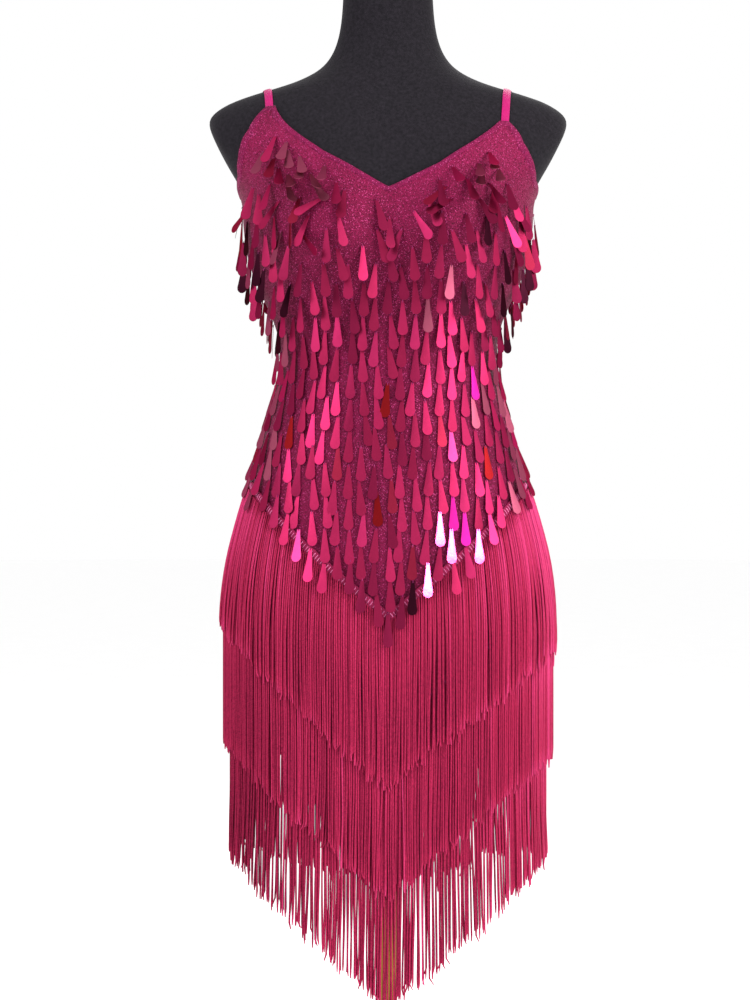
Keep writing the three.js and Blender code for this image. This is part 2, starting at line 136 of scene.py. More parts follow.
class Finish:
    """A material, made of nodes that are set and joined in one call each."""

    def __init__(self, name):
        self.material = bpy.data.materials.new(name)
        self.material.use_nodes = True
        self.tree = self.material.node_tree
        self.tree.nodes.clear()

    def node(self, kind, settings=None, sockets=None, out=0):
        made = self.tree.nodes.new(kind)
        for name, value in (settings or {}).items():
            setattr(made, name, value)
        for name, value in (sockets or {}).items():
            if isinstance(value, Wire):
                self.tree.links.new(value.socket, made.inputs[name])
            else:
                made.inputs[name].default_value = value
        return Wire(self, made.outputs[out]) if made.outputs else None

    def place(self):
        return self.node("ShaderNodeTexCoord", out="Object")

    def attribute(self, name, out="Fac"):
        return self.node("ShaderNodeAttribute", {"attribute_name": name}, None, out)

    def vector(self, operation, sockets, out=0):
        return self.node("ShaderNodeVectorMath", {"operation": operation}, sockets, out)

    def axis(self, vector, name):
        return self.node("ShaderNodeSeparateXYZ", None, {0: vector}, out=name)

    def along(self, name):
        """How far round or across, X, and how far along, Y, by the piece's UV map."""
        return self.axis(self.node("ShaderNodeTexCoord", out="UV"), name)

    def noise(self, vector, scale, detail=2.0):
        sockets = {"Vector": vector, "Scale": scale, "Detail": detail}
        return self.node("ShaderNodeTexNoise", None, sockets)

    def wave(self, value):
        """A smooth wave from 0 to 1, one for each whole number of the value."""
        turned = value * (2 * math.pi)
        return self.node("ShaderNodeMath", {"operation": "SINE"}, {0: turned}) * 0.5 + 0.5

    def fade(self, value, start, end):
        """From 0 to 1 as the value goes from start to end, and level beyond them."""
        sockets = {"Value": value, "From Min": start, "From Max": end}
        return self.node("ShaderNodeMapRange", None, sockets)

    def blend(self, share, first, second):
        sockets = {0: share, 6: first, 7: second}
        return self.node("ShaderNodeMix", {"data_type": "RGBA"}, sockets, out=2)

    def relief(self, height, distance, strength=1.0):
        sockets = {"Height": height, "Distance": distance, "Strength": strength}
        return self.node("ShaderNodeBump", None, sockets)

    def surface(self, **sockets):
        named = {"Specular IOR Level": 0.1}
        named |= {name.replace("_", " "): value for name, value in sockets.items()}
        shader = self.node("ShaderNodeBsdfPrincipled", None, named)
        self.node("ShaderNodeOutputMaterial", None, {"Surface": shader})


def shade(code):
    """A dyer's colour code, such as c32b6e, as the light that it sends back."""
    parts = [int(code[i : i + 2], 16) / 255 for i in (0, 2, 4)]
    return (*[p / 12.92 if p < 0.04045 else ((p + 0.055) / 1.055) ** 2.4 for p in parts], 1.0)


# %% [markdown]
# ## Floor
# The floor is plain pale paper, wide enough that no view sees its edge. It isn't part of the
# dress.

# %% Floor
paper = Finish("pale_paper")
grain = paper.noise(paper.place(), 6.0)
paper.surface(
    Base_Color=paper.blend(grain, shade("fcfcfc"), shade("ffffff")),
    Roughness=0.9,
)
bpy.ops.mesh.primitive_circle_add(vertices=96, radius=30, fill_type="NGON")
floor = bpy.context.object
floor.name = "studio_floor"
floor.data.materials.append(paper.material)
print("floor:", tuple(floor.dimensions))

# %% [markdown]
# ## Black jersey
# The form is covered in matt black jersey. Up close it is rows of tiny loops with a little
# fuzz, and from further away only the fuzz shows, as a soft paler edge. Sheen does that.

# %% Jersey
jersey = Finish("black_jersey")
spot = jersey.place()
loops = jersey.node("ShaderNodeTexVoronoi", None, {"Vector": spot, "Scale": 700.0})
fuzz = jersey.noise(spot, 320.0, 4.0)
jersey.surface(
    Base_Color=jersey.blend(fuzz * 1.6 - 0.3, shade("100f12"), shade("242126")),
    Roughness=fuzz * 0.1 + 0.84,
    Specular_IOR_Level=0.08,
    Sheen_Weight=0.03,
    Sheen_Roughness=0.4,
    Normal=jersey.relief(loops, 0.0004, 0.5),
)

# %% [markdown]
# ## Turned brass
# The stand is brass tube and a heavy brass foot, both polished on a lathe. That leaves fine
# rings, so the pattern reads the distance from the axis and the height, and nothing else.
# Brass also darkens in uneven patches where hands don't rub it.

# %% Brass
brass = Finish("turned_brass")
spot = brass.place()
from_axis = brass.vector("LENGTH", {0: brass.vector("MULTIPLY", {0: spot, 1: (1, 1, 0)})}, "Value")
turned_spot = {"X": from_axis, "Z": brass.axis(spot, "Z")}
rings = brass.noise(brass.node("ShaderNodeCombineXYZ", None, turned_spot), 1500.0)
patches = brass.noise(spot, 9.0, 5.0)
brass.surface(
    Base_Color=brass.blend(patches, shade("5c4018"), shade("9a7434")),
    Metallic=1.0,
    Specular_IOR_Level=0.5,
    Roughness=patches * 0.16 + rings * 0.12 + 0.12,
    Normal=brass.relief(rings, 0.00005, 0.4),
)

# %% [markdown]
# ## Glitter cloth
# The cloth is a plum stretch knit with flakes of foil glued on. A Voronoi pattern cuts it into
# cells two thirds of a millimetre wide. A cell's random colour says whether it holds a flake,
# and tips it its own way, so the light catches only a few of them at a time. Over the chest
# its ground is painted brighter and pinker, a painted highlight of the light from above.


# %% Glitter cloth
def glitter(name, deep, lit, upper, flake):
    knitted = Finish(name)
    spot = knitted.place()
    # The ground is painted brighter towards the top of the chest, a painted highlight of light from
    # above.
    high = knitted.fade(knitted.axis(spot, "Z"), 1.06, 1.19)
    cell = {"Vector": spot, "Scale": 1500.0}
    chance = knitted.node("ShaderNodeTexVoronoi", None, cell, out="Color")
    lot, other_lot = (
        knitted.node("ShaderNodeSeparateColor", None, {0: chance}, out) for out in (0, 1)
    )
    wear_and_painted_light = knitted.noise(spot, 22.0, 3.0)
    bright = lot > 0.95
    top = knitted.blend(high, shade(lit), shade(upper))
    ground = knitted.blend(other_lot * 0.8 + wear_and_painted_light * 0.4 - 0.1, shade(deep), top)
    centred = knitted.vector("SUBTRACT", {0: chance, 1: (0.5, 0.5, 0.5)})
    tipped = knitted.vector("SCALE", {0: centred, "Scale": 0.45})
    knit = knitted.relief(knitted.noise(spot, 700.0), 0.0006, 0.7)
    leaning = knitted.vector("ADD", {0: knit, 1: tipped})
    knitted.surface(
        Base_Color=knitted.blend(bright, ground, shade(flake)),
        Metallic=bright * 0.3 + 0.2,
        Roughness=0.6 - bright * 0.15,
            Normal=knitted.vector("NORMALIZE", {0: leaning}),
    )
    return knitted


bodice_cloth = glitter("glitter_knit", "360618", "7e0f40", "8e184a", "a4386c")
skirt_cloth = glitter("glitter_knit_skirt", "340618", "741040", "741040", "983c68")

# %% [markdown]
# ## Satin elastic, thread and tape
# These follow the length of the piece, so they read its UV map, in metres along and as a
# share across or round. Elastic has fine ribs along it. A thread is two yarns twisted
# together, which is a wave that climbs as it goes round. Tape is a plain weave.

# %% Elastic, thread, tape
elastic = Finish("satin_elastic")
across = elastic.along("X")
length = elastic.along("Y")
ribs = elastic.wave(across * 9.0)
picks = elastic.wave(length * 900.0)
elastic.surface(
    Base_Color=elastic.blend(ribs * 0.6 + picks * 0.3, shade("8a0e4c"), shade("c01c70")),
    Roughness=ribs * 0.15 + 0.4,
    Normal=elastic.relief(ribs + picks * 0.5, 0.0002, 0.6),
)


def twisted(name, deep, lit, wear_and_painted_light):
    yarn = Finish(name)
    round_it = yarn.along("X")
    down_it = yarn.along("Y")
    twist = yarn.wave(round_it * 2.0 + down_it * 420.0)
    tone = yarn.attribute("tone")
    slub = yarn.noise(yarn.place(), 620.0, 3.0)
    # Past a tone of 0.8 a thread turns to its palest colour. This is the painted highlight on the
    # hips and upper parts, and it also colours the paler tips and the palest threads.
    top = yarn.blend(yarn.fade(tone, 0.8, 1.5), shade(lit), shade(wear_and_painted_light))
    yarn.surface(
        Base_Color=yarn.blend(tone * 0.7 + twist * 0.12 + slub * 1.1 - 0.47, shade(deep), top),
        Roughness=twist * 0.12 + 0.55,
            Specular_Tint=shade(lit),
        Normal=yarn.relief(twist * 0.4 + slub * 1.4, 0.0005, 0.8),
    )
    return yarn


# The fringe's last colour, its palest, is mostly a painted highlight.
fringe_yarn = twisted("fringe_yarn", "46091e", "b02a50", "cc4078")
ladder_yarn = twisted("ladder_yarn", "b04478", "e684b0", "e684b0")
tie_yarn = twisted("tie_yarn", "70184a", "a84478", "a84478")

tape_weave = Finish("heading_tape")
warp = tape_weave.wave(tape_weave.along("X") * 700.0)
weft = tape_weave.wave(tape_weave.along("Y") * 700.0)
tape_weave.surface(
    Base_Color=tape_weave.blend(warp * weft, shade("74143a"), shade("a82854")),
    Roughness=warp * 0.1 + 0.55,
    Normal=tape_weave.relief(warp + weft, 0.0003, 0.6),
)

# %% [markdown]
# ## Sequin foil
# The sequins are punched from metallised film, dyed in shades of rose. Some catch the light,
# and the film bends a little. Each carries its colour and its gloss in attributes, which the
# finish reads. Many of those colours are painted shade, painted reflection and painted
# highlights, set sequin by sequin.

# %% Foil
foil = Finish("sequin_foil")
# The colour attribute holds each sequin's dye together with its painted shade, reflection and
# highlight.
colour_and_painted_light, dullness = foil.attribute("dye_and_painted_light", "Color"), foil.attribute("dullness")
haze = foil.noise(foil.place(), 160.0)
scuffs = foil.noise(foil.place(), 900.0, 1.0)
foil.surface(
    Base_Color=foil.blend(haze * 0.22, colour_and_painted_light, shade("480c26")),
    Metallic=0.92,
    Roughness=dullness + scuffs * 0.06,
    Specular_IOR_Level=0.3,
    Specular_Tint=(0.55, 0.18, 0.32, 1.0),
    Normal=foil.relief(haze, 0.0002, 0.35),
)
print("finishes:", [material.name for material in bpy.data.materials if material.use_nodes])

# %% [markdown]
# ## The figure
# Stretch cloth follows a body at an even distance, so one rule places every piece: a point of
# the figure for an angle round it, a height, and a distance outwards. The angle is 0 at the
# centre front and 90 at the side towards +X. The sections are the form's own: height, half
# width, depth in front, depth behind, and how far the middle lies back.

# %% Sections
SECTIONS = np.array([
    (320, 152, 86, 97, 0), (480, 153, 87, 99, 0), (560, 154, 88, 102, 0),
    (620, 156, 90, 106, 0), (660, 160, 92, 110, 0), (700, 163, 94, 114, 0),
    (740, 162.5, 95, 115, 0), (780, 158.5, 96, 112, 0), (820, 150, 96, 106, 0),
    (860, 139, 95, 98, 0), (900, 128, 92, 89, 0), (930, 120, 89, 82, 0),
    (960, 112, 86, 76, 0), (985, 108.5, 85, 73, 0), (1010, 111, 86, 74, 0),
    (1030, 117, 88, 77, 0), (1050, 126, 91, 81, 0), (1075, 137, 95, 87, 0),
    (1100, 144, 99, 92, 0), (1125, 147, 101, 95, 0), (1150, 149, 101, 95, 2),
    (1168, 156, 101, 94, 4), (1190, 174, 99, 91, 6), (1207, 190, 97, 88, 8),
    (1222, 197, 93, 85, 10), (1238, 192, 88, 81, 11), (1248, 181, 83, 78, 12),
    (1256, 167, 79, 75, 13),
]).T / 1000
LEVELS = SECTIONS[0]
LAST = len(LEVELS) - 1
below = np.maximum(np.arange(LAST + 1) - 1, 0)
above = np.minimum(np.arange(LAST + 1) + 1, LAST)
SLOPES = (SECTIONS[:, above] - SECTIONS[:, below]) / (LEVELS[above] - LEVELS[below])


def section(column, z):
    """A column of the sections at any height, on a smooth curve through them."""
    z = np.clip(z, LEVELS[0], LEVELS[LAST])
    i = np.clip(np.searchsorted(LEVELS, z, side="right") - 1, 0, LAST - 1)
    span = LEVELS[i + 1] - LEVELS[i]
    t = (z - LEVELS[i]) / span
    row, slope = SECTIONS[column], SLOPES[column]
    return (
        (2 * t**3 - 3 * t**2 + 1) * row[i]
        + (t**3 - 2 * t**2 + t) * span * slope[i]
        + (3 * t**2 - 2 * t**3) * row[i + 1]
        + (t**3 - t**2) * span * slope[i + 1]
    )


# %% A point of the figure
POWER = 2 / 2.3  # an ellipse that is a little squared


def figure(angle, z, off=0.0):
    turn = np.radians(angle)
    s, c = np.sin(turn), np.cos(turn)
    width = (section(1, z) + off) * np.abs(s) ** POWER
    over = z - 1.168  # the flat plates that close the armholes
    plate = 0.1575 + np.where(over > 0, over * 0.5, -over * 2) + off
    x = np.sign(s) * (plate - 0.0025 * np.logaddexp(0, (plate - width) / 0.0025))
    aside = (np.abs(x) - 0.074) / 0.046
    up = (z - 1.112) / np.where(z > 1.112, 0.058, 0.036)
    bust = 0.028 * np.exp(-(aside**2 + up**2) / 2) * np.sqrt(np.maximum(c, 0))
    depth = np.where(c > 0, section(2, z), section(3, z)) + off
    y = section(4, z) - depth * np.sign(c) * np.abs(c) ** POWER - bust
    return np.stack(np.broadcast_arrays(x, y, z), axis=-1)


def run_along(line):
    """Lengths from the start of a line of points to each point, or the same for many lines."""
    steps = np.linalg.norm(np.diff(line, axis=-2), axis=-1)
    return np.insert(np.cumsum(steps, axis=-1), 0, 0, axis=-1)


def arc(angles, z, off=0.0):
    """Lengths along a level line of the figure, from the first angle to each."""
    return run_along(figure(angles, z, off))


round_it = np.linspace(0, 360, 1441)
print("waist round the figure:", round(arc(round_it, 0.985)[-1], 3), "m")
print("hip round the figure:", round(arc(round_it, 0.712)[-1], 3), "m")

# %% [markdown]
# ## Rims
# The bodice and the hem each end in a rim that is highest at the sides and comes to a point
# at the centre front, with a shallower one behind. The neckline is measured from the front.

# %% Rims
CLOTH_INSIDE, CLOTH_OUTSIDE = 0.0032, 0.0043
ARMHOLE = 1.160  # height of the side seams' tops
PER_DEGREE = 0.0021  # metres of cloth in a degree of turn


def pointed(angle, front, rise):
    turn = np.radians(angle)
    side = np.abs(np.sin(turn)) ** POWER
    return front + rise * np.where(np.cos(turn) > 0, side, 1 - 0.4 * (1 - side))


NECKLINE = np.array([
    (-155, 1174), (-154, 1188), (-150.5, 1202), (-142, 1218), (-124.5, 1242),
    (-116, 1242), (-91.5, 1210), (-66, 1191), (-39, 1176), (0, 1154),
    (51, 1178), (83, 1200), (113.5, 1225), (122, 1225), (137, 1203),
    (145, 1191), (150, 1180), (152.5, 1169),
]) / 1000
share = np.abs(NECKLINE[:, 0]) / (section(1, NECKLINE[:, 1]) + CLOTH_OUTSIDE)
neck_angles = np.degrees(np.arcsin(np.minimum(share, 1) ** (1 / POWER)))
neck_angles = np.concatenate([[-90], np.sign(NECKLINE[:, 0]) * neck_angles, [90]])
neck_heights = np.concatenate([[ARMHOLE], NECKLINE[:, 1], [ARMHOLE]])
BACK_NECK = ([90, 104, 135, 146, 157, 180], [ARMHOLE, 1.164, 1.171, 1.172, 1.171, 1.164])


def front_top(angle):
    return np.interp(angle, neck_angles, neck_heights)


def back_top(angle):
    return np.interp(np.where(angle > 180, 360 - angle, angle), *BACK_NECK)


def waist_seam(angle):
    return pointed(angle, 0.722, 0.136)


def hem(angle):
    return pointed(angle, 0.486, 0.143)


# %% [markdown]
# ## Creases
# Even a tight dress isn't smooth. It gathers a little under the point of the neckline, drags
# from the bust to the side seams, and folds across where the waist is smallest. Each crease
# is a soft ridge or trough of its own. The skirt has loose upright flutes.

# %% Creases
# angle, height, lean from upright in degrees, half length, half width and lift in millimetres
CREASES = [
    (-5, 1128, 7, 17, 2.6, -1.0), (0, 1120, 0, 22, 3.0, 1.0), (6, 1124, -9, 18, 2.6, -1.0),
    (13, 1132, -20, 14, 2.4, 0.7), (-60, 1076, 64, 36, 6.0, 1.2), (-68, 1054, 74, 30, 5.0, -1.1),
    (-48, 1048, 58, 24, 5.0, 0.8), (58, 1080, -60, 32, 6.0, 1.1), (66, 1050, -72, 30, 5.0, -1.0),
    (44, 1040, -55, 22, 5.0, 0.7), (-78, 990, 86, 30, 5.0, 1.3), (-68, 970, 82, 34, 4.5, -1.0),
    (74, 996, -86, 32, 5.0, 1.2), (66, 974, -80, 28, 4.5, -1.0), (-12, 962, 86, 46, 8.0, 0.8),
    (20, 942, -84, 40, 7.0, -0.7), (-36, 862, -30, 50, 8.0, 0.7), (34, 846, 26, 46, 8.0, 0.7),
    (180, 1012, 90, 56, 8.0, 1.4), (172, 984, 88, 50, 6.0, -1.1), (196, 962, -86, 44, 6.0, 1.0),
    (146, 1000, 80, 36, 6.0, -1.0), (216, 1006, -78, 34, 6.0, 1.1), (160, 1110, 12, 40, 6.0, 0.8),
    (203, 1104, -14, 38, 6.0, -0.8), (118, 984, 84, 30, 5.0, 1.2), (242, 978, -84, 30, 5.0, -1.0),
    (150, 856, -24, 56, 9.0, 0.8), (212, 862, 28, 52, 9.0, -0.7), (-52, 650, 3, 90, 9.0, 1.4),
    (-31, 610, -2, 80, 8.0, -1.2), (-12, 570, 2, 70, 9.0, 1.2), (9, 575, -3, 70, 8.0, -1.1),
    (27, 610, 2, 80, 9.0, 1.3), (49, 640, -4, 84, 8.0, -1.1), (70, 670, 2, 80, 9.0, 1.2),
    (-73, 680, -3, 80, 8.0, -1.2), (104, 680, 3, 84, 9.0, 1.3), (128, 650, -3, 84, 8.0, -1.2),
    (152, 630, 2, 84, 9.0, 1.3), (175, 620, -2, 80, 9.0, -1.1), (198, 630, 3, 84, 9.0, 1.2),
    (226, 650, -3, 84, 9.0, 1.3), (251, 680, 2, 84, 8.0, -1.2),
]


def crease(angle, z):
    """How far the cloth stands out from its even distance."""
    total = np.zeros(np.broadcast(angle, z).shape)
    for middle, height, lean, half, wide, lift in CREASES:
        aside = ((angle - middle + 180) % 360 - 180) * PER_DEGREE
        up = z - height / 1000
        tilt = math.radians(lean)
        run = (up * math.cos(tilt) + aside * math.sin(tilt)) / (half / 1000)
        off_line = (aside * math.cos(tilt) - up * math.sin(tilt)) / (wide / 1000)
        total += lift / 1000 * np.exp(-(off_line**2) - run**4)
    return total


def cloth(angle, z, off):
    return figure(angle, z, off + crease(angle, z))


print("creases:", len(CREASES))

# %% [markdown]
# ## Pieces from grids
# A cloth panel is a wall between two like grids of points, its outside and its inside. It is
# made straight from the figure, because a real panel is cut to lie on it. The helpers here
# close such a wall and give it a finish, a UV map and a body to ride on.


# %% Walls and pieces
def quads(*corners):
    return np.stack([np.broadcast_to(c, corners[0].shape).ravel() for c in corners], axis=1)


def wall(outer, inner, closed=False):
    """Points and faces of a wall between two grids, whose first index runs along it."""
    columns, rows = outer.shape[:2]
    o = np.arange(columns * rows).reshape(columns, rows)
    o = np.vstack([o, o[:1]]) if closed else o
    i = o + columns * rows
    faces = [
        quads(o[:-1, :-1], o[1:, :-1], o[1:, 1:], o[:-1, 1:]),
        quads(i[:-1, :-1], i[:-1, 1:], i[1:, 1:], i[1:, :-1]),
        quads(i[:-1, 0], i[1:, 0], o[1:, 0], o[:-1, 0]),
        quads(o[:-1, -1], o[1:, -1], i[1:, -1], i[:-1, -1]),
    ]
    if not closed:
        faces.append(quads(i[0, :-1], o[0, :-1], o[0, 1:], i[0, 1:]))
        faces.append(quads(o[-1, :-1], i[-1, :-1], i[-1, 1:], o[-1, 1:]))
    points = np.concatenate([outer.reshape(-1, 3), inner.reshape(-1, 3)])
    return points, np.concatenate(faces).tolist()


def laid_flat(angle, z, per_degree=PER_DEGREE):
    """A UV row for each point of a wall: its way round in metres, and its height."""
    return np.tile(np.stack([angle.ravel() * per_degree, z.ravel()], axis=1), (2, 1))


def unit(vectors):
    return vectors / np.linalg.norm(vectors, axis=-1, keepdims=True)


def piece(name, points, faces, finish, slot, uv=None, sharp=60, **attributes):
    """A shown piece. A UV map may have a row for each point, or one for each face corner."""
    mesh = bpy.data.meshes.new(name)
    mesh.from_pydata(points.tolist(), [], faces)
    mesh.materials.append(finish.material)
    mesh.polygons.foreach_set("use_smooth", np.ones(len(mesh.polygons), bool))
    mesh.set_sharp_from_angle(angle=math.radians(sharp))
    if uv is not None:
        if len(uv) != len(mesh.loops):
            corners = np.empty(len(mesh.loops), int)
            mesh.loops.foreach_get("vertex_index", corners)
            uv = uv[corners]
        layer = mesh.uv_layers.new(name="grain_line")
        layer.uv.foreach_set("vector", np.asarray(uv, np.float32).ravel())
    for key, values in attributes.items():
        values = np.asarray(values, np.float32)
        kind, field = ("FLOAT_COLOR", "color") if values.ndim == 2 else ("FLOAT", "value")
        mesh.attributes.new(key, kind, "POINT").data.foreach_set(field, values.ravel())
    made = bpy.data.objects.new(name, mesh)
    bpy.context.scene.collection.objects.link(made)
    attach(made, "root")
    triangles = sum(len(face) - 2 for face in faces)
    print(f"{name}: {len(points)} points, {triangles} triangles")
    return made


def cloth_size(made):
    """The cloth's area, which is half of what a thin wall of it measures."""
    return round(sum(polygon.area for polygon in made.data.polygons) / 2, 4)


# %% [markdown]
# ## The dress form
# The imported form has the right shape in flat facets. A real one is foam under stretched
# jersey, with no edge anywhere. So a copy of it is merged, its triangles are paired into
# quads, and two rounds of subdivision turn them into one smooth skin.


# %% Form
def pick(made):
    bpy.ops.object.select_all(action="DESELECT")
    made.select_set(True)
    bpy.context.view_layer.objects.active = made


form_mesh = nodes["form_body"].data.copy()
form_mesh.materials.clear()
form_mesh.materials.append(jersey.material)
form = bpy.data.objects.new("form_jersey_cover", form_mesh)
bpy.context.scene.collection.objects.link(form)
pick(form)
bpy.ops.object.mode_set(mode="EDIT")
bpy.ops.mesh.select_all(action="SELECT")
bpy.ops.mesh.remove_doubles(threshold=0.00005)
bpy.ops.mesh.tris_convert_to_quads(
    face_threshold=math.radians(50), shape_threshold=math.radians(50)
)
bpy.ops.object.mode_set(mode="OBJECT")
smoothing = form.modifiers.new("smoothing", "SUBSURF")
smoothing.levels = smoothing.render_levels = 2
bpy.ops.object.modifier_apply(modifier="smoothing")
bpy.ops.object.shade_smooth()
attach(form, "root")
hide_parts("form_body")
print("form faces:", len(form.data.polygons))

# %% [markdown]
# ## The stand
# Pole and foot are turned on a lathe, so each is drawn up from a circle: extrude, then scale
# the new rim to its radius, again and again. A bevel breaks the edges, as a turner's file
# does, and the mesh is fine enough to look round.


# %% Turned pieces
def turned(name, profile, bevel, node):
    """A round solid from [radius, height] pairs in millimetres, closed at both ends."""
    radius, height = profile[0]
    bpy.ops.mesh.primitive_circle_add(
        vertices=96, radius=radius / 1000, location=(0, 0, height / 1000), fill_type="NGON"
    )
    made = bpy.context.object
    made.name = name
    bpy.ops.object.mode_set(mode="EDIT")
    bpy.ops.mesh.select_all(action="SELECT")
    for next_radius, next_height in profile[1:]:
        lift = (0, 0, (next_height - height) / 1000)
        bpy.ops.mesh.extrude_region_move(TRANSFORM_OT_translate={"value": lift})
        grow = next_radius / radius
        middle = (0, 0, next_height / 1000)
        bpy.ops.transform.resize(value=(grow, grow, 1), center_override=middle)
        radius, height = next_radius, next_height
    bpy.ops.mesh.select_all(action="SELECT")
    bpy.ops.mesh.remove_doubles(threshold=0.00001)
    bpy.ops.mesh.normals_make_consistent(inside=False)
    bpy.ops.object.mode_set(mode="OBJECT")
    bpy.ops.object.transform_apply(location=True, rotation=True, scale=True)
    edge = made.modifiers.new("edge", "BEVEL")
    edge.width, edge.segments, edge.limit_method = bevel / 1000, 3, "ANGLE"
    edge.angle_limit = math.radians(28)
    bpy.ops.object.modifier_apply(modifier="edge")
    bpy.ops.object.shade_smooth_by_angle(angle=math.radians(35))
    made.data.materials.append(brass.material)
    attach(made, "root")
    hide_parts(node)
    print(f"{name}: {len(made.data.polygons)} faces, {tuple(round(d, 4) for d in made.dimensions)}")


FOOT = [(160, 0), (160, 5), (157, 9), (28, 9), (24, 13), (20, 34), (10.3, 34), (10.3, 9)]
POLE = [(10, 9.3), (10, 623.7), (16, 633.7), (36, 633.7), (36, 639.7)]
turned("brass_foot", FOOT, 1.2, "form_base")
turned("brass_pole", POLE, 0.8, "form_pole")

# %% [markdown]
# ## The four cloth panels
# Front and back bodice meet at the side seams, and front and back underskirt carry on below
# them. Columns stand close enough for the narrowest crease, and at each corner of the rims.

# %% Panels
SEAM = 0.075  # half of the gap at the side seams, in degrees
WAIST_GAP = 0.00015  # half of the gap at the waist seam, in metres


def panel(node, angles, rows, lower, upper, finish):
    angle, share = np.meshgrid(angles, np.linspace(0, 1, rows + 1), indexing="ij")
    z = lower(angle) + (upper(angle) - lower(angle)) * share
    outer, inner = cloth(angle, z, CLOTH_OUTSIDE), cloth(angle, z, CLOTH_INSIDE)
    points, faces = wall(outer, inner)
    name = f"{node}_panel"
    made = piece(name, points, faces, finish, "glitter_cloth", laid_flat(angle, z), 50)
    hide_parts(node)
    print(f"  {name}: {cloth_size(made)} square metres of cloth")
    return made


front_angles = np.union1d(
    np.linspace(-90 + SEAM, 90 - SEAM, 150), np.clip(neck_angles, -90 + SEAM, 90 - SEAM)
)
back_angles = np.linspace(90 + SEAM, 270 - SEAM, 140)


def above_seam(angle):
    return waist_seam(angle) + WAIST_GAP


def below_seam(angle):
    return waist_seam(angle) - WAIST_GAP


bodice_front = panel("bodice_front", front_angles, 124, above_seam, front_top, bodice_cloth)
bodice_back = panel("bodice_back", back_angles, 110, above_seam, back_top, bodice_cloth)
skirt_front = panel("skirt_front", front_angles[::2], 56, hem, below_seam, skirt_cloth)
skirt_back = panel("skirt_back", back_angles[::2], 56, hem, below_seam, skirt_cloth)

# %% [markdown]
# ## The turned-over neck edge
# The upper rim is turned over and topstitched, which shows as a slightly raised, smoother band
# of the same cloth. It keeps one width square to the rim, so on a steep stretch it reaches
# further down.

# %% Neck edge
edge_cloth = glitter("glitter_knit_edge", "440a28", "841648", "8c184c", "ac4478")


def neck_edge(name, angles, rim, width):
    step = 0.2
    rise = (rim(angles + step) - rim(angles - step)) / np.linalg.norm(
        (figure(angles + step, ARMHOLE) - figure(angles - step, ARMHOLE))[:, :2], axis=1
    )
    reach = width * np.minimum(np.sqrt(1 + rise**2), 3)
    down = np.array([1.0, 0.85, 0.5, 0.15, -0.12])
    stand = np.array([0.1, 0.7, 0.8, 0.7, 0.1]) / 1000
    angle = np.repeat(angles[:, None], len(down), axis=1)
    z = rim(angle) - reach[:, None] * down
    outer = cloth(angle, z, CLOTH_OUTSIDE + stand)
    inner = cloth(angle, z, CLOTH_OUTSIDE - 0.0006 + 0 * stand)
    points, faces = wall(outer, inner)
    return piece(name, points, faces, edge_cloth, "glitter_cloth", laid_flat(angle, z))


front_edge = neck_edge("neck_edge_front", front_angles, front_top, 0.0048)
back_edge = neck_edge("neck_edge_back", back_angles, back_top, 0.0048)

# %% [markdown]
# ## Straps
# Each strap is 8 mm satin elastic. It is laid by casting rays at the form from outside, along
# a fan that turns about a point inside the shoulder. Its ends go down behind the panels,
# where they are sewn. One strap is let out further, so that side of the neckline hangs lower.

# %% Straps
skin = BVHTree.FromObject(form, bpy.context.evaluated_depsgraph_get())
TURN_Y, TURN_Z = 0.010, 1.196


def strap(name, node, x_front, z_front, x_top, x_back):
    # Its ends go 12 mm under the front rim and 16 mm under the back one.
    first = math.atan2(z_front - 0.012 - TURN_Z, TURN_Y + 0.082)
    finish_turn = math.pi - math.atan2(1.172 - 0.016 - TURN_Z, 0.078)
    base, lift = [], []
    for part in np.linspace(0, 1, 72):
        turn = first + (finish_turn - first) * part
        out = Vector((0, -math.cos(turn), math.sin(turn)))
        x = np.interp(part, [0, 0.5, 1], [x_front, x_top, x_back])
        row = []
        for aside in np.linspace(0.004, -0.004, 7):
            start = Vector((x + aside, TURN_Y, TURN_Z)) + out * 0.4
            row.append(np.array(skin.ray_cast(start, -out)[0]))
        base.append(row)
        lift.append(np.array(out))
    base, lift = np.array(base), np.array(lift)[:, None, :]
    crown = np.array([0.5, 0.95, 1.05, 1.1, 1.05, 0.95, 0.5])[None, :, None] / 1000
    points, faces = wall(base + lift * (0.0008 + crown), base + lift * 0.0008)
    run = run_along(base[:, 3])
    flat = np.stack(np.meshgrid(run, np.linspace(0, 1, 7), indexing="ij")[::-1], axis=-1)
    flat = np.tile(flat.reshape(-1, 2), (2, 1))
    made = piece(name, points, faces, elastic, "strap_elastic", flat, 50)
    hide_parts(node)
    print(f"  {name}: {run[-1]:.3f} m long")


strap("satin_strap_right", "strap_right_shoulder", -0.12025, 1.242, -0.1315, -0.096)
strap("satin_strap_left", "strap_left_shoulder", 0.11775, 1.225, 0.129, 0.096)

# %% [markdown]
# ## Threads
# Fringe, stitches and ties are all round threads along a path. One helper makes any number of
# them as one mesh: `side` and `up` span the section, and each thread has a radius at each
# step of its path. A thread's UV map gives how far round and how far along.


